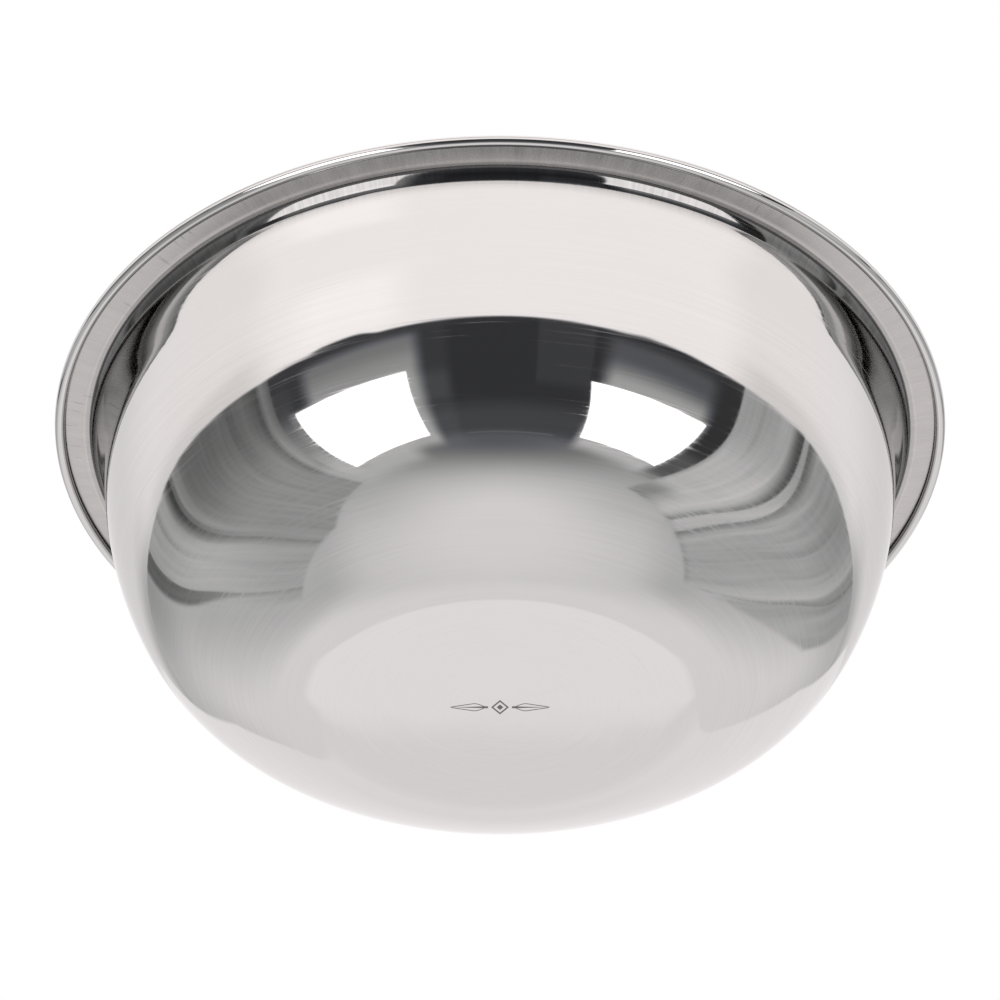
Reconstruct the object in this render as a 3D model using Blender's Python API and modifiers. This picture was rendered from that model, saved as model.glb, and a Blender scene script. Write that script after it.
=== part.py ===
"""Shaving bowl: one disc of stainless steel sheet, drawn into a deep bowl.

The sheet runs without a joint from the flat base, up the curved side, through a cove and a crease
into a sloping flange, and ends in a hollow bead curled down around the edge. The cut edge of the sheet
stops just short of the flange, which leaves a narrow seam around the underside of the bead.

Frame: metres, +Z up through the mouth, origin at the centre of the flat base.
"""

import math

import bpy

# Driving dimensions.
RIM_DIAMETER = 0.159
BASE_DIAMETER = 0.0674
SHEET_THICKNESS = 0.0005
BEAD_DIAMETER = 0.0018
SEAM_GAP = 0.0001
FLANGE_SLOPE = math.radians(6.0)

# The side's outer face, from the base up: a chain of arcs, each tangent to the one before.
# Lean is the angle between the face and the bowl's axis: 90 degrees on the base, 0 where the side
# stands upright. A positive radius bulges outwards, and a negative one curves in like a cove.
BASE_LEAN = math.radians(90.0)
HEEL_RADIUS = 0.0060
HEEL_LEAN = math.radians(72.0)
BOTTOM_RADIUS = 0.0686
BOTTOM_LEAN = math.radians(56.0)
SHOULDER_RADIUS = 0.0309
SHOULDER_LEAN = math.radians(28.0)
WALL_RADIUS = 0.0620
WALL_LEAN = math.radians(4.1)
FLARE_RADIUS = -0.0324
FLARE_LEAN = math.radians(20.0)
COVE_RADIUS = -0.0046
COVE_LEAN = math.radians(48.0)
CREASE_RADIUS = -0.0003
CREASE_LEAN = BASE_LEAN - FLANGE_SLOPE

# Fineness of the turned faces.
TURN_STEPS = 64
BEAD_OUTER_STEPS = 11
BEAD_INNER_STEPS = 6

MERGE_DISTANCE = 1e-6
COLLECTION_NAME = "shaving_bowl"

# Each arc: radius, lean at its upper end, number of straight facets.
SIDE_ARCS = (
    (HEEL_RADIUS, HEEL_LEAN, 3),
    (BOTTOM_RADIUS, BOTTOM_LEAN, 4),
    (SHOULDER_RADIUS, SHOULDER_LEAN, 6),
    (WALL_RADIUS, WALL_LEAN, 5),
    (FLARE_RADIUS, FLARE_LEAN, 3),
    (COVE_RADIUS, COVE_LEAN, 4),
    (CREASE_RADIUS, CREASE_LEAN, 2),
)


def clear_scene():
    """Remove every object that the file opened with."""
    for leftover in list(bpy.data.objects):
        bpy.data.objects.remove(leftover, do_unlink=True)


def outward(lean):
    """Unit normal of the outer face in the (radius, height) plane, at a lean."""
    return math.cos(lean), -math.sin(lean)


def side_points():
    """The outer face from the edge of the flat base to the crease: (radius, height, lean)."""
    radius, height, lean = BASE_DIAMETER / 2, 0.0, BASE_LEAN
    points = [(radius, height, lean)]
    for arc_radius, end_lean, facets in SIDE_ARCS:
        normal = outward(lean)
        centre_r = radius - arc_radius * normal[0]
        centre_z = height - arc_radius * normal[1]
        start_lean = lean
        for step in range(1, facets + 1):
            lean = start_lean + (end_lean - start_lean) * step / facets
            normal = outward(lean)
            radius = centre_r + arc_radius * normal[0]
            height = centre_z + arc_radius * normal[1]
            points.append((radius, height, lean))
    return points


def inner_face(points):
    """The same face moved through the sheet, towards the inside of the bowl."""
    moved = []
    for radius, height, lean in points:
        normal = outward(lean)
        moved.append((radius - SHEET_THICKNESS * normal[0], height - SHEET_THICKNESS * normal[1]))
    return moved


def bead_centre(crease):
    """Centre of the bead, which the flange meets along the tangent to the bead's top."""
    bead_radius = BEAD_DIAMETER / 2
    hollow_radius = bead_radius - SHEET_THICKNESS
    centre_r = RIM_DIAMETER / 2 - bead_radius
    run = centre_r - hollow_radius * math.sin(FLANGE_SLOPE) - crease[0]
    rise = run * math.tan(FLANGE_SLOPE)
    centre_z = crease[1] + rise - hollow_radius * math.cos(FLANGE_SLOPE)
    return centre_r, centre_z


def bead_arc(centre, arc_radius, end_angle, facets):
    """One face of the curl, from the flange over the top and around to the cut edge."""
    start_angle = math.pi / 2 + FLANGE_SLOPE
    arc = []
    for step in range(facets + 1):
        angle = start_angle + (end_angle - start_angle) * step / facets
        arc.append((centre[0] + arc_radius * math.cos(angle), centre[1] + arc_radius * math.sin(angle)))
    return arc


def bowl_profile():
    """The whole cross-section: up the inside, around the bead, and down the outer face."""
    side = side_points()
    centre = bead_centre(side[-1])
    bead_radius = BEAD_DIAMETER / 2
    hollow_radius = bead_radius - SHEET_THICKNESS
    reach = math.asin((hollow_radius - SEAM_GAP) / bead_radius)
    end_angle = FLANGE_SLOPE - math.pi - reach

    inside = [(0.0, SHEET_THICKNESS)] + inner_face(side)
    bead_outside = bead_arc(centre, bead_radius, end_angle, BEAD_OUTER_STEPS)
    bead_inside = bead_arc(centre, hollow_radius, end_angle, BEAD_INNER_STEPS)
    outside = [(radius, height) for radius, height, _ in side]
    return inside + bead_outside + bead_inside[::-1] + outside[::-1] + [(0.0, 0.0)]


def steel_material():
    """Bright, lightly buffed stainless steel."""
    material = bpy.data.materials.new("stainless_steel")
    material.use_nodes = True
    shader = material.node_tree.nodes["Principled BSDF"]
    shader.inputs["Base Color"].default_value = (0.80, 0.79, 0.78, 1.0)
    shader.inputs["Metallic"].default_value = 1.0
    shader.inputs["Roughness"].default_value = 0.12
    return material


def turned_object(name, profile, material, collection):
    """An object turned about Z from a profile of (radius, height) points at +X."""
    mesh = bpy.data.meshes.new(name)
    vertices = [(radius, 0.0, height) for radius, height in profile]
    edges = [(index, index + 1) for index in range(len(profile) - 1)]
    mesh.from_pydata(vertices, edges, [])
    mesh.materials.append(material)
    turned = bpy.data.objects.new(name, mesh)
    collection.objects.link(turned)
    screw = turned.modifiers.new("turn", "SCREW")
    screw.axis = "Z"
    screw.steps = TURN_STEPS
    screw.render_steps = TURN_STEPS
    screw.use_smooth_shade = True
    screw.use_merge_vertices = True
    screw.merge_threshold = MERGE_DISTANCE
    return turned


def build():
    """Make the bowl in a collection of its own."""
    clear_scene()
    collection = bpy.data.collections.new(COLLECTION_NAME)
    bpy.context.scene.collection.children.link(collection)
    turned_object("bowl", bowl_profile(), steel_material(), collection)


build()
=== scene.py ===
"""The looks of the shaving bowl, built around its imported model.

The bowl is one piece of stainless steel. Its outside is mirror buffed, the underside of the flange
keeps the draw marks of the press, the bead is bright, and the inside is satin with turned lines.
The studio is a sky of two soft boxes, grey curtains and white paper. The floor shows only from
above.
"""

import math

import bpy
import numpy as np
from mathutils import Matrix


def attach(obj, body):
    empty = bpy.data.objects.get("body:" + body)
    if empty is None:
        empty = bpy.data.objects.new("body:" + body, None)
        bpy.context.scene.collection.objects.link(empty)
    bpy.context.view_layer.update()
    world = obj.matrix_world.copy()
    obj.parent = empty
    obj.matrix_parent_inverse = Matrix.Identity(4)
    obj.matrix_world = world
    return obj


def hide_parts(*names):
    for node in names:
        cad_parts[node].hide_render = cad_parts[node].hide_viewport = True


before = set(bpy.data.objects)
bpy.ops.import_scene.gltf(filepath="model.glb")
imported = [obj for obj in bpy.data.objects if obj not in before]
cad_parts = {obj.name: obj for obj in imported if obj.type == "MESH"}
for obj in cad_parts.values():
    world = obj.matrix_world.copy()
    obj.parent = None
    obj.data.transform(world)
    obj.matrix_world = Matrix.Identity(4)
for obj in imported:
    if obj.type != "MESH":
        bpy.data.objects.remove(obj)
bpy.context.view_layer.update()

# ---------------------------------------------------------------------------- the bowl's section

# Metres, as in the CAD: the outer face from the base up is a chain of arcs, each given by its
# radius and its lean at the upper end. Lean is 90 degrees on the base and 0 where the side is
# upright.
RIM_RADIUS = 0.0795
BASE_RADIUS = 0.0337
SHEET = 0.0005
BEAD_RADIUS = 0.0009
SEAM_GAP = 0.00017
FLANGE_SLOPE = math.radians(6.0)
SIDE_ARCS = (
    (0.0060, math.radians(72.0)),
    (0.0686, math.radians(56.0)),
    (0.0309, math.radians(28.0)),
    (0.0620, math.radians(4.1)),
    (-0.0324, math.radians(20.0)),
    (-0.0046, math.radians(48.0)),
    (-0.0001, math.radians(84.0)),
)

# Fine shapes on the underside of the flange: the press leaves a groove where the cove meets it,
# and a low ridge a little further out. Each is (distance from the crease, height, half width).
FLANGE_MARKS = (
    (0.00008, -0.00008, 0.00010),
    (0.00100, 0.00005, 0.00030),
)

# The side's curve is worked out in very short steps, from this far inside the edge of the flat
# base, and its bends are eased over a length. The heel, where the base turns up, is the softest
# bend.
FINE_STEP = 0.00005
FLAT_MARGIN = 0.0060
EASE_LENGTH = 0.0016
HEEL_EASE_LENGTH = 1.7 * EASE_LENGTH

# How far apart the section's points are, and how many there are on each short stretch.
CURVE_SPACING = 0.00065
TIGHT_SPACING = 0.00018
INSIDE_SPACING = 0.0010
MARK_SPACING = 0.00008
FLANGE_STEPS = 8
HOLLOW_STEPS = 12
CUT_STEPS = 8
BEAD_STEPS = 30
LIP_STEPS = 6
BASE_STEPS = 6
TURN_STEPS = 308

# Finishes, in the order of the mesh's materials.
POLISHED, DRAWN, SATIN = 0, 1, 2


def blurred(values, width):
    """The values blurred along their length. Both ends are carried on in a straight line."""
    reach = int(4 * width / FINE_STEP)
    ahead = np.arange(1, reach + 1)
    before = values[0] - (values[1] - values[0]) * ahead[::-1]
    after = values[-1] + (values[-1] - values[-2]) * ahead
    kernel = np.exp(-0.5 * (np.arange(-reach, reach + 1) * FINE_STEP / width) ** 2)
    return np.convolve(np.concatenate([before, values, after]), kernel / kernel.sum(), mode="valid")


def side_curve():
    """The outer face from just inside the edge of the base to the crease, in very short steps.

    Arcs meet with a jump in curvature, which a mirror finish shows as a kink, so the lean is eased
    along them. The cove and the crease are too small to ease. Returns points as rows of (radius,
    height), the lean at each, and whether each is on an eased curve.
    """
    leans = [math.pi / 2] + [end_lean for _, end_lean in SIDE_ARCS]
    lengths = [abs(arc[0] * (end - start)) for arc, start, end in zip(SIDE_ARCS, leans, leans[1:])]
    marks = np.cumsum([0.0, FLAT_MARGIN] + lengths)
    travel = np.arange(0.0, marks[-1], FINE_STEP) + FINE_STEP / 2
    lean = np.interp(travel, marks, [math.pi / 2] + leans)
    heel_end, bottom_end, cove_start = marks[2], marks[3], marks[-3]
    is_long = travel < cove_start
    past_heel = (travel[is_long] - heel_end) / (bottom_end - heel_end)
    on_heel = np.clip(1.0 - 2.0 * past_heel, 0.0, 1.0)
    eased = blurred(lean[is_long], EASE_LENGTH)
    lean[is_long] = eased + (blurred(lean[is_long], HEEL_EASE_LENGTH) - eased) * on_heel
    steps = FINE_STEP * np.stack([np.sin(lean), np.cos(lean)], axis=1)
    start = np.array([BASE_RADIUS - FLAT_MARGIN, 0.0])
    points = start + np.concatenate([[[0.0, 0.0]], np.cumsum(steps, axis=0)])
    return points, np.append(lean, lean[-1]), np.append(is_long, False)


def thinned(points, spacing):
    """Indices of points that are the spacing apart along the curve, with both ends."""
    travel = np.concatenate([[0.0], np.cumsum(FINE_STEP / spacing[:-1])])
    kept = np.searchsorted(travel, np.arange(0.0, travel[-1]))
    return np.unique(np.append(kept, len(points) - 1))


def flange_curve(start, end):
    """The underside of the flange, from the crease to where the sheet turns into the bead."""
    length = np.linalg.norm(end - start)
    outward = (end - start) / length
    down = np.array([outward[1], -outward[0]])
    last_place, _, last_width = FLANGE_MARKS[-1]
    marked = last_place + 3 * last_width
    plain = np.linspace(marked, length, FLANGE_STEPS)
    travel = np.concatenate([np.arange(0.0, marked, MARK_SPACING), plain])
    bulge = sum(height * np.exp(-0.5 * ((travel - place) / width) ** 2)
                for place, height, width in FLANGE_MARKS)
    bulge *= np.clip(travel / MARK_SPACING, 0.0, 1.0)
    return start + travel[:, None] * outward + bulge[:, None] * down


def arc_points(centre, radius, start, end, steps):
    """Points along an arc. Angles are anticlockwise from the +radius direction."""
    angles = np.linspace(start, end, steps + 1)[:, None]
    return centre + radius * np.hstack([np.cos(angles), np.sin(angles)])


def bowl_section():
    """The section of the sheet, from the axis out under the base, around the bead and back inside.

    Returns its points as rows of (radius, height), and the finish of the face after each point.
    """
    points, lean, is_long = side_curve()
    inner = points - SHEET * np.stack([np.cos(lean), -np.sin(lean)], axis=1)
    side = points[thinned(points, np.where(is_long, CURVE_SPACING, TIGHT_SPACING))]
    inside = inner[thinned(points, np.where(is_long, INSIDE_SPACING, 2 * TIGHT_SPACING))]

    hollow = BEAD_RADIUS - SHEET
    bead_radius = RIM_RADIUS - BEAD_RADIUS
    run = bead_radius - hollow * math.sin(FLANGE_SLOPE) - side[-1, 0]
    rise = run * math.tan(FLANGE_SLOPE) - hollow * math.cos(FLANGE_SLOPE)
    bead = np.array([bead_radius, side[-1, 1] + rise])
    top_angle = math.pi / 2 + FLANGE_SLOPE
    cut_angle = FLANGE_SLOPE - math.pi - math.asin((hollow - SEAM_GAP) / BEAD_RADIUS)
    edge_middle = bead + (hollow + SHEET / 2) * np.array([math.cos(cut_angle), math.sin(cut_angle)])
    hollow_face = arc_points(bead, hollow, top_angle, cut_angle, HOLLOW_STEPS)
    cut_edge = arc_points(
        edge_middle, SHEET / 2, cut_angle - math.pi, cut_angle - 2 * math.pi, CUT_STEPS)
    bead_face = arc_points(bead, BEAD_RADIUS, cut_angle, top_angle, BEAD_STEPS)
    lip = np.linspace(bead_face[-1], inside[-1], LIP_STEPS)

    rings = np.linspace(0.0, BASE_RADIUS - FLAT_MARGIN, BASE_STEPS)[:, None]
    parts = (
        (np.hstack([rings, 0 * rings])[:-1], POLISHED),
        (side[:-1], POLISHED),
        (flange_curve(side[-1], hollow_face[0])[:-1], DRAWN),
        (hollow_face[:-1], DRAWN),
        (cut_edge[:-1], POLISHED),
        (bead_face[:-1], POLISHED),
        (lip[:-1], SATIN),
        (inside[::-1][:-1], SATIN),
        (np.hstack([rings, 0 * rings + SHEET])[::-1], SATIN),
    )
    section = np.concatenate([part for part, _ in parts])
    finish = np.concatenate([np.full(len(part), kind) for part, kind in parts])
    return section, finish[:-1]


def turned_mesh(name, section, finish):
    """A closed mesh turned about Z. The section starts and ends on the axis."""
    rings = len(section) - 2
    angles = np.linspace(0.0, 2 * math.pi, TURN_STEPS, endpoint=False)
    radius, height = section[1:-1, 0, None], section[1:-1, 1, None]
    body = np.stack(
        [radius * np.cos(angles), radius * np.sin(angles), height + 0 * angles], axis=-1)
    poles = np.array([[0.0, 0.0, section[0, 1]], [0.0, 0.0, section[-1, 1]]])
    vertices = np.concatenate([poles[:1], body.reshape(-1, 3), poles[1:]])

    ring, turn = np.meshgrid(np.arange(rings), np.arange(TURN_STEPS), indexing="ij")
    here = 1 + ring * TURN_STEPS + turn
    beside = 1 + ring * TURN_STEPS + (turn + 1) % TURN_STEPS
    quads = np.stack([here[:-1], beside[:-1], beside[1:], here[1:]], axis=-1).reshape(-1, 4)
    first = np.stack([0 * here[0], beside[0], here[0]], axis=-1)
    last = np.stack([0 * here[-1] + len(vertices) - 1, here[-1], beside[-1]], axis=-1)

    mesh = bpy.data.meshes.new(name)
    mesh.from_pydata(vertices.tolist(), [], first.tolist() + quads.tolist() + last.tolist())
    mesh.polygons.foreach_set("material_index", np.repeat(finish, TURN_STEPS).astype(np.int32))
    mesh.polygons.foreach_set("use_smooth", np.ones(len(mesh.polygons), dtype=bool))
    travel = np.concatenate([[0.0], np.cumsum(np.linalg.norm(np.diff(section, axis=0), axis=1))])
    along = mesh.attributes.new("along", "FLOAT", "POINT")
    values = np.concatenate([travel[:1], np.repeat(travel[1:-1], TURN_STEPS), travel[-1:]])
    along.data.foreach_set("value", values.astype(np.float32))
    mesh.validate()
    return mesh


# ---------------------------------------------------------------------------- numbers as nodes


class Field:
    """A number that varies over a surface or the sky. Arithmetic on it adds Math nodes."""

    def __init__(self, tree, socket):
        self.tree = tree
        self.socket = socket

    def apply(self, operation, *values):
        node = self.tree.nodes.new("ShaderNodeMath")
        node.operation = operation
        for value, slot in zip((self,) + values, node.inputs):
            feed(value, slot)
        return Field(self.tree, node.outputs[0])

    def __add__(self, other):
        return self.apply("ADD", other)

    def __sub__(self, other):
        return self.apply("SUBTRACT", other)

    def __mul__(self, other):
        return self.apply("MULTIPLY", other)

    def __truediv__(self, other):
        return self.apply("DIVIDE", other)

    def __pow__(self, other):
        return self.apply("POWER", other)

    def __rsub__(self, other):
        return (self * -1.0) + other

    def __abs__(self):
        return self.apply("ABSOLUTE")

    __radd__ = __add__
    __rmul__ = __mul__

    def ramp(self, low, high):
        """0 at low, 1 at high, eased in between. High may be the smaller."""
        node = self.tree.nodes.new("ShaderNodeMapRange")
        node.interpolation_type = "SMOOTHSTEP"
        feed(self, node.inputs["Value"])
        feed(low, node.inputs["From Min"])
        feed(high, node.inputs["From Max"])
        return Field(self.tree, node.outputs["Result"])


def feed(value, slot):
    """Link a Field to a socket, or set the socket to a plain number."""
    if isinstance(value, Field):
        value.tree.links.new(value.socket, slot)
    else:
        slot.default_value = value


def band(field, low, high, soft):
    """1 between low and high, 0 outside, with edges as wide as soft."""
    rise = field.ramp(low - soft / 2, low + soft / 2)
    return rise * field.ramp(high + soft / 2, high - soft / 2)


def over(below, above, mask):
    """Above where the mask is 1, below where it is 0."""
    return below + (above - below) * mask


def combined(tree, x, y, z):
    """A vector from three numbers or Fields."""
    node = tree.nodes.new("ShaderNodeCombineXYZ")
    for value, slot in zip((x, y, z), node.inputs):
        feed(value, slot)
    return node.outputs[0]


def noise(tree, vector, scale, detail=2.0, roughness=0.5):
    """Smooth noise, centred on 0 and mostly within 0.5 of it."""
    node = tree.nodes.new("ShaderNodeTexNoise")
    tree.links.new(vector, node.inputs["Vector"])
    node.inputs["Scale"].default_value = scale
    node.inputs["Detail"].default_value = detail
    node.inputs["Roughness"].default_value = roughness
    return Field(tree, node.outputs["Fac"]) - 0.5


# ---------------------------------------------------------------------------- the studio

# Directions are in degrees. Azimuth 0 is the side that the camera stands on, and positive is to its
# right. Elevation is 0 at eye level and negative below it.
DEGREES = 180.0 / math.pi

# Brightness of each part of the studio as the polished steel shows it, from 0 to 255.
PAPER = 230.0
FAR_PAPER = 220.0
FLOATING_STRIP = 217.0
SHEET_PAPER = 214.0
TABLE_STRIP = 203.0
CEILING = 204.0
FAR_WALL = 168.0
DARK_WALL = 52.0
SOFT_BOX = 330.0
HALO = 160.0
GLOW = 172.0
OVERHEAD_RING = 176.0
OVERHEAD_PANEL = 250.0
STEEL_REFLECTANCE = 0.64
DISPLAY_GAMMA = 2.2

# Folds of the curtains: azimuth at eye level, width of the soft side, brightness added at eye level
# and at the hem, and degrees that the fold drifts for each degree down. The soft side lies towards
# higher azimuths where the width is positive. The other side is crisp.
LEFT_FOLDS = (
    (-114.5, 1.2, -16.0, -4.0, 0.0),
    (-105.0, -2.6, -36.0, -8.0, 0.0),
    (-102.6, 3.2, 30.0, 6.0, 0.0),
    (-78.5, 2.0, -9.0, -4.0, 0.0),
    (-68.3, -2.4, -20.0, -22.0, 0.0),
    (-66.8, 1.6, 14.0, 18.0, 0.0),
)
RIGHT_FOLDS = (
    (75.0, 1.0, -10.0, -4.0, 0.0),
    (85.4, -4.0, 10.0, 8.0, 0.04),
    (90.6, -2.8, -76.0, -44.0, 0.05),
    (94.0, 2.4, -50.0, -38.0, 0.11),
    (99.6, 2.0, 4.0, 12.0, 0.08),
    (113.0, -2.4, -10.0, -8.0, 0.02),
    (126.5, -4.6, 20.0, 16.0, 0.0),
    (130.6, -1.0, -16.0, -20.0, -0.10),
)


def folded(level, azimuth, elevation, folds):
    """A level with the folds of a hanging cloth in it."""
    depth = elevation.ramp(4.0, -50.0)
    for place, width, at_eye, at_hem, drift in folds:
        offset = (azimuth + elevation * drift - place) / ((1.0 - 0.3 * depth) * width)
        shape = offset.ramp(-0.35, 0.0) * offset.ramp(1.9, 0.0)
        level = level + over(at_eye, at_hem, depth) * shape
    return level


def left_curtain(azimuth, elevation, creases):
    """The cloth on the left: its brightness and its mask."""
    inner = 97.0 + 41.0 * elevation.ramp(6.0, -40.0)
    outer = 151.0 + 18.0 * elevation.ramp(4.0, -24.0) - 16.0 * elevation.ramp(-28.0, -52.0)
    cloth = over(inner, outer, azimuth.ramp(-104.5, -110.0))
    cloth = folded(cloth, azimuth, elevation, LEFT_FOLDS)

    shadow_start = 3.6 * elevation.ramp(-16.0, -36.0) - 129.4
    shadow_end = -123.5 - 0.9 * elevation.ramp(-4.0, -26.0)
    shadow = azimuth.ramp(shadow_start - 0.4, shadow_start + 1.4)
    shadow = shadow * azimuth.ramp(shadow_end + 0.4, shadow_end - 0.3)
    cloth = cloth + creases - (58.0 - 44.0 * elevation.ramp(-20.0, -42.0)) * shadow

    hem = (-97.0 - azimuth).apply("MAXIMUM", 0.0) * 0.33 - 59.0
    mask = azimuth.ramp(-130.5, -127.5) * azimuth.ramp(-60.0, -64.0)
    return cloth, mask * elevation.ramp(hem - 0.5, hem + 0.5)


def right_curtain(azimuth, elevation, creases):
    """The cloth on the right: its brightness and its mask. It darkens towards its hem."""
    inner = 148.0 + 28.0 * elevation.ramp(4.0, -34.0)
    outer = 138.0 + 18.0 * elevation.ramp(4.0, -26.0) + 10.0 * azimuth.ramp(130.5, 133.0)
    cloth = over(inner, outer, azimuth.ramp(95.0, 104.0))
    cloth = folded(cloth, azimuth, elevation, RIGHT_FOLDS)

    hem = (azimuth - 80.0) * 0.17 - 60.4
    above_hem = elevation - hem
    cloth = cloth + creases - 12.0 * above_hem.ramp(1.6, 0.0)
    cloth = cloth - 42.0 * above_hem.ramp(12.0, 4.0) * azimuth.ramp(86.0, 75.0)

    edge = (elevation * 0.41 + 145.5).apply("MINIMUM", 140.0)
    mask = azimuth.ramp(67.8, 70.4) * azimuth.ramp(edge + 0.8, edge - 0.8)
    return cloth, mask * elevation.ramp(hem - 0.5, hem + 0.5)


def curtains(level, azimuth, elevation):
    """Grey cloth hanging on both sides, with a hem that is lower towards the camera."""
    tree = azimuth.tree
    across = combined(tree, azimuth * 0.55, elevation * 0.03, 0.0)
    creases = 30.0 * noise(tree, across, 1.0, detail=3.0)
    under_hems = band(elevation, -60.0, -50.0, 10.0) * band(abs(azimuth), 92.0, 134.0, 16.0)
    level = level - 14.0 * under_hems
    level = over(level, *left_curtain(azimuth, elevation, creases))
    return over(level, *right_curtain(azimuth, elevation, creases))


def dark_wall(azimuth, elevation):
    """The wall behind the soft boxes. The boxes light it above them, and it has dim panels."""
    wall = DARK_WALL + 16.0 * elevation.ramp(-26.0, -40.0) + 24.0 * elevation.ramp(-46.0, -56.0)
    wall = wall + 9.0 * band(azimuth, 10.0, 25.0, 1.0) * elevation.ramp(-24.0, -16.0)
    left_panel = 7.0 + 12.0 * band(elevation, -28.0, -13.0, 8.0)
    wall = wall + left_panel * azimuth.ramp(-12.0, -16.0)
    wall = wall + 14.0 * band(elevation, -50.6, -49.6, 0.6) * band(azimuth, -12.0, 20.0, 3.0)

    above_left = band(azimuth, -54.0, -22.0, 5.0) * elevation.ramp(3.0, -1.0)
    above_right = band(azimuth, 29.0, 60.0, 6.0) * elevation.ramp(4.0, -1.0)
    wall = wall + (54.0 + 26.0 * elevation.ramp(-1.0, -9.0)) * above_left
    wall = wall + (30.0 + 72.0 * elevation.ramp(-3.0, -13.0)) * above_right

    wall = wall + 90.0 * azimuth.ramp(-57.0, -61.0) * elevation.ramp(6.0, -52.0)
    return wall + 14.0 * azimuth.ramp(56.0, 60.0) * elevation.ramp(-30.0, -38.0)


def soft_boxes(azimuth, elevation):
    """The mask of the two soft boxes. Their inner sides and the left one's base slant."""
    base = (azimuth + 25.0) * 0.10 - 48.2
    left = band(azimuth, -58.8, -25.6, 0.7) * elevation.ramp(base - 0.4, base + 0.4)
    left = left * elevation.ramp(-10.7, -11.4)
    start = 23.4 - 0.125 * elevation
    right = azimuth.ramp(start - 0.4, start + 0.4) * azimuth.ramp(61.2, 60.4)
    return left + right * band(elevation, -48.3, -15.4, 0.7)


def dark_end(level, azimuth, elevation):
    """The dark end of the room behind the camera, with two soft boxes in front of it."""
    mask = band(azimuth, -64.0, 68.0, 0.9) * elevation.ramp(-58.0, -49.0)
    level = over(level, dark_wall(azimuth, elevation), mask)

    halo = band(azimuth, -60.6, -24.4, 2.4) * band(elevation, -52.4, -9.9, 2.6)
    halo = halo + band(azimuth, 28.0, 61.6, 2.4) * band(elevation, -50.0, -14.2, 2.6)
    glow = band(azimuth, -68.0, -34.0, 10.0) * band(elevation, -61.0, -44.5, 8.0)
    glow = glow + 0.45 * band(azimuth, 38.0, 60.0, 8.0) * band(elevation, -54.0, -44.0, 8.0)
    level = over(level, HALO, 0.4 * halo)
    level = over(level, GLOW, 0.85 * glow)
    return over(level, SOFT_BOX, soft_boxes(azimuth, elevation))


def far_end(level, azimuth, elevation):
    """The far wall, and a strip of light that floats in front of it."""
    side = abs(azimuth)
    leaning = abs(azimuth + 3.0)
    wall = FAR_WALL + 37.0 * leaning.ramp(127.0, 151.0) - 25.0 * elevation.ramp(-16.0, 8.0)
    level = over(level, wall, side.ramp(112.0, 132.0) * elevation.ramp(-62.0, -44.0))
    strip = band(elevation, -39.0, -34.9, 0.8) * side.ramp(166.0, 172.0)
    return over(level, FLOATING_STRIP, strip)


def white_paper(level, azimuth, elevation):
    """White paper above the edge of the table, dimmer towards the far end."""
    side = abs(azimuth)
    edge = 3.7 + 0.8 * side.ramp(31.0, 40.0) + 4.8 * side.ramp(54.0, 112.0)
    edge = edge + 0.7 * band(azimuth, -50.0, -34.0, 6.0)
    strip = TABLE_STRIP + 24.0 * elevation.ramp(10.0, 17.0) - 34.0 * side.ramp(115.0, 135.0)
    far = FAR_PAPER - 12.0 * side.ramp(105.0, 135.0) - 14.0 * band(elevation, 8.0, 17.0, 6.0)
    far = over(strip, far, elevation.ramp(12.0, 20.0))
    paper = over(PAPER, far, side.ramp(58.0, 74.0))
    paper = paper + 9.0 * band(azimuth, -54.0, -26.0, 14.0) * band(elevation, 5.0, 24.0, 8.0)
    return over(level, paper, elevation.ramp(edge - 0.5, edge + 0.5))


def hanging_sheets(level, azimuth, elevation):
    """Sheets of paper that hang in front of the far wall. They are narrower further down."""
    leaning = abs(azimuth + 3.0)
    edge = (-3.0 - elevation).apply("MAXIMUM", 0.0) * 0.6 + 152.5
    top = abs(azimuth) * 0.7 - 87.0
    mask = leaning.ramp(edge - 0.6, edge + 0.6) * elevation.ramp(-36.0, -26.0)
    sheet = SHEET_PAPER + 9.0 * elevation.ramp(-20.0, 14.0)
    return over(level, sheet, mask * elevation.ramp(top + 0.8, top - 0.8))


def studio_level(azimuth, elevation):
    """Brightness of the studio in a direction."""
    # A grey ceiling below, in shade towards the camera.
    side = abs(azimuth)
    reach = side.ramp(112.0, 0.0) + 0.19 * side.ramp(45.0, 90.0) * side.ramp(210.0, 100.0)
    level = CEILING - 118.0 * elevation.ramp(-84.0, -54.0) * reach

    for layer in (far_end, curtains, dark_end, white_paper, hanging_sheets):
        level = layer(level, azimuth, elevation)

    # Overhead, for the inside of the bowl: a bright panel in a greyer ring.
    level = over(level, OVERHEAD_RING, band(elevation, 46.0, 66.0, 14.0))
    return over(level, OVERHEAD_PANEL, elevation.ramp(58.0, 74.0))


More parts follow.
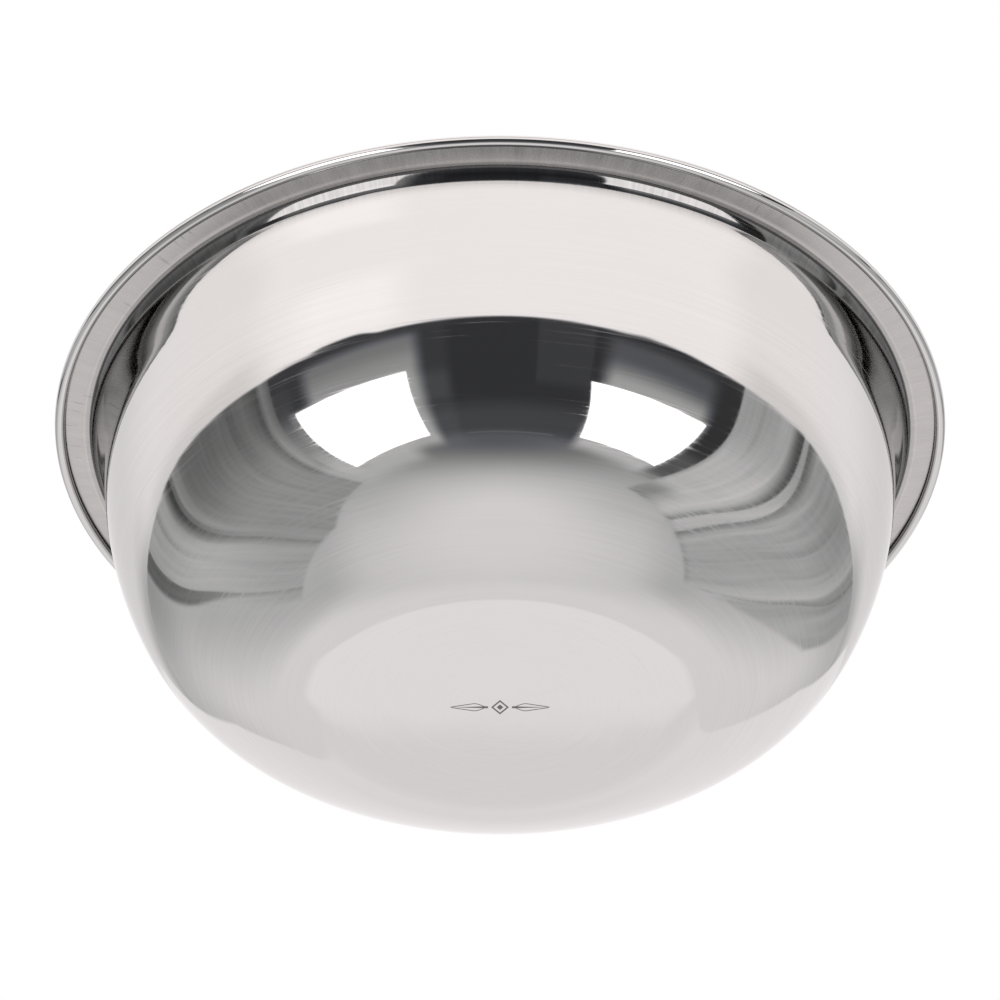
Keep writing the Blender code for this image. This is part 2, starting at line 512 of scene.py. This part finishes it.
def build_world():
    """Light from all around, as the studio gives it, behind a plain white backdrop."""
    world = bpy.data.worlds.new("studio")
    bpy.context.scene.world = world
    world.use_nodes = True
    tree = world.node_tree
    tree.nodes.clear()
    direction = tree.nodes.new("ShaderNodeSeparateXYZ")
    tree.links.new(tree.nodes.new("ShaderNodeTexCoord").outputs["Generated"], direction.inputs[0])
    x, y, z = (Field(tree, socket) for socket in direction.outputs)
    azimuth = x.apply("ARCTAN2", y * -1.0) * DEGREES
    elevation = z.apply("ARCSINE") * DEGREES

    # The dark end is a little blue, and the white paper is a little warm.
    level = studio_level(azimuth, elevation) / 255.0
    cold = level.ramp(0.46, 0.38) * abs(azimuth).ramp(66.0, 60.0)
    warm = level.ramp(0.65, 0.70)
    sunny = warm * elevation.ramp(2.0, 6.0) * abs(azimuth).ramp(115.0, 85.0)
    tints = (1.0 - 0.012 * cold + 0.010 * warm + 0.004 * sunny,
             1.0 - 0.004 * cold - 0.007 * warm,
             1.0 + 0.038 * cold - 0.003 * warm - 0.010 * sunny)
    channels = [(level * tint) ** DISPLAY_GAMMA / STEEL_REFLECTANCE for tint in tints]

    light = tree.nodes.new("ShaderNodeBackground")
    tree.links.new(combined(tree, *channels), light.inputs["Color"])
    backdrop = tree.nodes.new("ShaderNodeBackground")
    backdrop.inputs["Color"].default_value = (1.0, 1.0, 1.0, 1.0)
    choice = tree.nodes.new("ShaderNodeMixShader")
    tree.links.new(tree.nodes.new("ShaderNodeLightPath").outputs["Is Camera Ray"], choice.inputs[0])
    tree.links.new(light.outputs[0], choice.inputs[1])
    tree.links.new(backdrop.outputs[0], choice.inputs[2])
    tree.links.new(choice.outputs[0], tree.nodes.new("ShaderNodeOutputWorld").inputs["Surface"])


# ---------------------------------------------------------------------------- finishes

STEEL_EDGE_TINT = (0.84, 0.84, 0.84, 1.0)
POLISHED_COLOUR = (0.640, 0.636, 0.632)
DRAWN_COLOUR = (0.52, 0.512, 0.50)
SATIN_COLOUR = (0.62, 0.615, 0.61)

# Where the finish changes, and where shade and a highlight are painted, as distances from the
# bowl's axis.
BODY_EDGES = (0.034, 0.044)
BODY_TOP_EDGES = (0.0698, 0.0688)
NECK_RADIUS = 0.0716
COVE_EDGES = (0.0716, 0.0724)
NECK_END_RADIUS = 0.0755
CREASE_RADIUS = 0.07318
CREASE_HALF_WIDTH = 0.00028
RIDGE_RADIUS = 0.0742
RIDGE_HALF_WIDTH = 0.00050
SEAM_RADIUS = 0.0777
SEAM_HALF_WIDTH = 0.00030

# Half sizes of the ornament's lozenge, and where each leaf starts and ends, in millimetres.
LOZENGE = (1.5, 2.1)
LEAF = (2.0, 8.6)

# Bumps are worked out in micrometres.
MICRON = 0.000001


class Finish:
    """A steel material under construction, with the coordinates that its patterns use."""

    def __init__(self, name):
        self.material = bpy.data.materials.new(name)
        self.material.use_nodes = True
        self.tree = self.material.node_tree
        self.shader = self.tree.nodes["Principled BSDF"]
        self.shader.inputs["Metallic"].default_value = 1.0
        self.shader.inputs["Specular Tint"].default_value = STEEL_EDGE_TINT
        place = self.tree.nodes.new("ShaderNodeTexCoord").outputs["Object"]
        split = self.tree.nodes.new("ShaderNodeSeparateXYZ")
        self.tree.links.new(place, split.inputs[0])
        self.place = place
        self.x, self.y, self.z = (Field(self.tree, socket) for socket in split.outputs)
        self.radius = (self.x * self.x + self.y * self.y).apply("SQRT").apply("MAXIMUM", 1e-6)
        self.around_x = self.x / self.radius
        self.around_y = self.y / self.radius
        attribute = self.tree.nodes.new("ShaderNodeAttribute")
        attribute.attribute_name = "along"
        self.along = Field(self.tree, attribute.outputs["Fac"])

    def lines(self, around, across, shape):
        """Noise on a tube: a scale around the bowl, and a size along its section."""
        x, y = self.around_x * around, self.around_y * around
        return noise(self.tree, combined(self.tree, x, y, self.along / across), 1.0, **shape)

    def turned_lines(self, spacing, length, **shape):
        """Noise in lines that run around the bowl. The length is a share of the way around."""
        around = 1.0 / (2 * math.pi * length)
        return self.lines(around, spacing, shape)

    def drawn_lines(self, count, length, **shape):
        """Noise in lines that run out from the axis, so many of them all the way around."""
        around = count / (2 * math.pi)
        return self.lines(around, length, shape)

    def mottle(self, size, **shape):
        """Plain noise whose blotches are about as big as the size."""
        return noise(self.tree, self.place, 1.0 / size, **shape)

    def brushed(self, anisotropy):
        """Stretch reflections across the lines that run around the bowl."""
        tangent = self.tree.nodes.new("ShaderNodeTangent")
        tangent.direction_type = "RADIAL"
        tangent.axis = "Z"
        self.tree.links.new(tangent.outputs[0], self.shader.inputs["Tangent"])
        self.shader.inputs["Anisotropic"].default_value = anisotropy
        self.shader.inputs["Anisotropic Rotation"].default_value = 0.25

    def mark(self):
        """A small laser-etched ornament under the base: a lozenge between two tapering leaves.

        Sizes are in millimetres. Both leaves are drawn at once, as they mirror each other.
        """
        x, y = abs(self.x) * 1000.0, abs(self.y) * 1000.0
        lozenge = x / LOZENGE[0] + y / LOZENGE[1]
        shape = band(lozenge, 0.74, 1.0, 0.06) + lozenge.ramp(0.42, 0.34)

        leaf_start, leaf_end = LEAF
        taper = (leaf_end - x) / 6.4
        stem = (taper - y / 0.32).ramp(0.0, 0.2)
        outline = 1.6 * taper * (x - leaf_start).ramp(0.0, 2.6)
        leaf = abs((y - outline) / 0.14).ramp(1.0, 0.6) * taper.ramp(0.0, 0.1)
        shape = shape + (stem + leaf) * x.ramp(leaf_start - 0.05, leaf_start + 0.1)
        return shape.apply("MINIMUM", 1.0) * self.z.ramp(0.0003, 0.0001)

    def crease_and_seam_shade(self):
        """How much painted shade darkens the crease and the seam."""
        in_crease = (abs(self.radius - CREASE_RADIUS) / CREASE_HALF_WIDTH).ramp(1.0, 0.2)
        in_seam = (abs(self.radius - SEAM_RADIUS) / SEAM_HALF_WIDTH).ramp(1.0, 0.3)
        underneath = self.z.ramp(0.0, 0.04)
        return (0.75 * in_crease + 0.38 * in_seam) * underneath

    def paint(self, colour, shade, roughness, height):
        """Set the colour times a shade, the roughness, and bumps of a height in metres."""
        tree = self.tree
        tinted = tree.nodes.new("ShaderNodeVectorMath")
        tinted.operation = "SCALE"
        tinted.inputs[0].default_value = colour
        feed(shade, tinted.inputs["Scale"])
        tree.links.new(tinted.outputs[0], self.shader.inputs["Base Color"])
        feed(roughness, self.shader.inputs["Roughness"])
        bump = tree.nodes.new("ShaderNodeBump")
        bump.inputs["Strength"].default_value = 1.0
        bump.inputs["Distance"].default_value = 1.0
        feed(height, bump.inputs["Height"])
        tree.links.new(bump.outputs[0], self.shader.inputs["Normal"])
        return self.material


def polished_steel():
    """Mirror buffed, with streaks around the bowl from the buffing wheel. The neck is a little
    rougher, and painted shade darkens it.
    """
    finish = Finish("polished_steel")
    fine = finish.turned_lines(0.00034, 0.09, detail=2.0)
    broad = finish.turned_lines(0.0011, 0.12, detail=1.0)
    wave = finish.mottle(0.014, detail=1.0)
    patch = finish.mottle(0.030, detail=1.0)
    neck = band(finish.radius, NECK_RADIUS, NECK_END_RADIUS, 0.0008) * finish.z.ramp(0.03, 0.04)
    drawn = finish.drawn_lines(900.0, 0.006, detail=3.0)

    # The two sides of the body are buffed less well than its front and back.
    body = finish.radius.ramp(*BODY_EDGES) * finish.radius.ramp(*BODY_TOP_EDGES)
    coarse = (abs(finish.around_x) + 0.7 * patch).ramp(0.10, 0.50) * body
    streak = fine.ramp(-0.05, 0.22)
    hairline = finish.turned_lines(0.00022, 0.05, detail=1.0).ramp(0.10, 0.30)
    mark = finish.mark()

    # Painted shade: the neck under the flange is made darker with radial streaks in it, and the
    # cove next to the crease darker still.
    cove = finish.radius.ramp(*COVE_EDGES) * neck
    shade = 1.0 + (0.04 + 0.08 * coarse) * fine + 0.02 * wave - 0.34 * neck + 0.24 * neck * drawn
    shade = shade - 0.26 * cove - 0.78 * mark
    roughness = 0.025 + (0.03 + 0.04 * coarse) * streak + (0.12 - 0.04 * coarse) * hairline
    roughness = roughness + 0.03 * neck + 0.30 * mark
    height = (0.2 + 0.2 * coarse) * fine + 0.4 * broad + 12.0 * wave
    finish.brushed(0.4)
    # Painted shade in the crease and in the seam.
    shade = shade * (1.0 - finish.crease_and_seam_shade())
    return finish.paint(POLISHED_COLOUR, shade, roughness, MICRON * height)


def drawn_steel():
    """Unpolished, with the fine lines that the draw ring leaves running outwards."""
    finish = Finish("drawn_steel")
    fine = finish.drawn_lines(1500.0, 0.004, detail=3.0)
    broad = finish.drawn_lines(260.0, 0.008, detail=2.0)
    scratch = finish.drawn_lines(700.0, 0.006, detail=1.0).ramp(0.20, 0.30)
    patch = finish.mottle(0.018, detail=2.0)
    ridge = (abs(finish.radius - RIDGE_RADIUS) / RIDGE_HALF_WIDTH).ramp(1.0, 0.0)
    ridge_to_crease_shade = finish.radius.ramp(RIDGE_RADIUS, RIDGE_RADIUS - 0.0002)

    shade = 1.0 + 0.16 * fine + 0.20 * broad + 0.12 * patch - 0.25 * scratch
    # Painted highlight on the ridge, painted shade between the ridge and the crease, and painted
    # shade in the crease and the seam.
    shade = (shade + 0.06 * ridge - 0.14 * ridge_to_crease_shade) * (1.0 - finish.crease_and_seam_shade())
    roughness = 0.27 + 0.12 * fine + 0.10 * broad + 0.10 * patch - 0.05 * ridge
    height = 4.0 * fine + 6.0 * broad - 4.0 * scratch
    return finish.paint(DRAWN_COLOUR, shade, roughness, MICRON * height)


def satin_steel():
    """Satin, with the close rings that a turned abrasive leaves."""
    finish = Finish("satin_steel")
    fine = finish.turned_lines(0.00030, 0.10, detail=3.0)
    broad = finish.turned_lines(0.0022, 0.25, detail=2.0)
    wave = finish.mottle(0.020, detail=2.0)
    shade = 1.0 + 0.14 * fine + 0.10 * broad + 0.04 * wave
    roughness = 0.27 + 0.16 * fine + 0.10 * broad
    height = 4.0 * fine + 6.0 * broad
    return finish.paint(SATIN_COLOUR, shade, roughness, MICRON * height)


# ---------------------------------------------------------------------------- floor and camera

FLOOR_RADIUS = 1.2
FLOOR_SIDES = 96
FLOOR_FADE = (1.1, 0.45)
FLOOR_COLOUR = (0.86, 0.855, 0.85)

CAMERA_PLACE = (0.0, -0.4381, -0.3104)
CAMERA_PITCH = math.radians(129.05)
CAMERA_LENS = 114.39


def build_floor():
    """A pale round floor that shows and shades from above only, and fades into the backdrop."""
    angles = np.linspace(0.0, 2 * math.pi, FLOOR_SIDES, endpoint=False)
    vertices = FLOOR_RADIUS * np.stack([np.cos(angles), np.sin(angles), 0 * angles], axis=1)
    mesh = bpy.data.meshes.new("floor")
    mesh.from_pydata(vertices.tolist(), [], [tuple(range(len(vertices)))])
    floor = bpy.data.objects.new("floor", mesh)
    bpy.context.scene.collection.objects.link(floor)

    finish = Finish("floor_paper")
    tree = finish.tree
    finish.shader.inputs["Metallic"].default_value = 0.0
    shade = 1.0 + 0.03 * finish.mottle(0.004, detail=3.0)
    finish.paint(FLOOR_COLOUR, shade, 0.9, 20.0 * MICRON * finish.mottle(0.002, detail=2.0))
    back = Field(tree, tree.nodes.new("ShaderNodeNewGeometry").outputs["Backfacing"])
    feed((1.0 - back) * finish.radius.ramp(*FLOOR_FADE), finish.shader.inputs["Alpha"])
    mesh.materials.append(finish.material)
    floor.visible_glossy = False
    floor.visible_shadow = False
    return floor


def build_camera():
    """The camera: low in front, looking up under the bowl."""
    data = bpy.data.cameras.new("camera")
    data.lens = CAMERA_LENS
    camera = bpy.data.objects.new("camera", data)
    camera.location = CAMERA_PLACE
    camera.rotation_euler = (CAMERA_PITCH, 0.0, 0.0)
    bpy.context.scene.collection.objects.link(camera)
    bpy.context.scene.camera = camera


# ---------------------------------------------------------------------------- pieces

section, finish_after = bowl_section()
bowl_mesh = turned_mesh("steel_bowl", section, finish_after)
for material in (polished_steel(), drawn_steel(), satin_steel()):
    bowl_mesh.materials.append(material)
bowl = bpy.data.objects.new("steel_bowl", bowl_mesh)
bpy.context.scene.collection.objects.link(bowl)
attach(bowl, "root")
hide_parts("bowl")

build_floor()
build_world()
build_camera()
bpy.context.scene.view_settings.view_transform = "Standard"
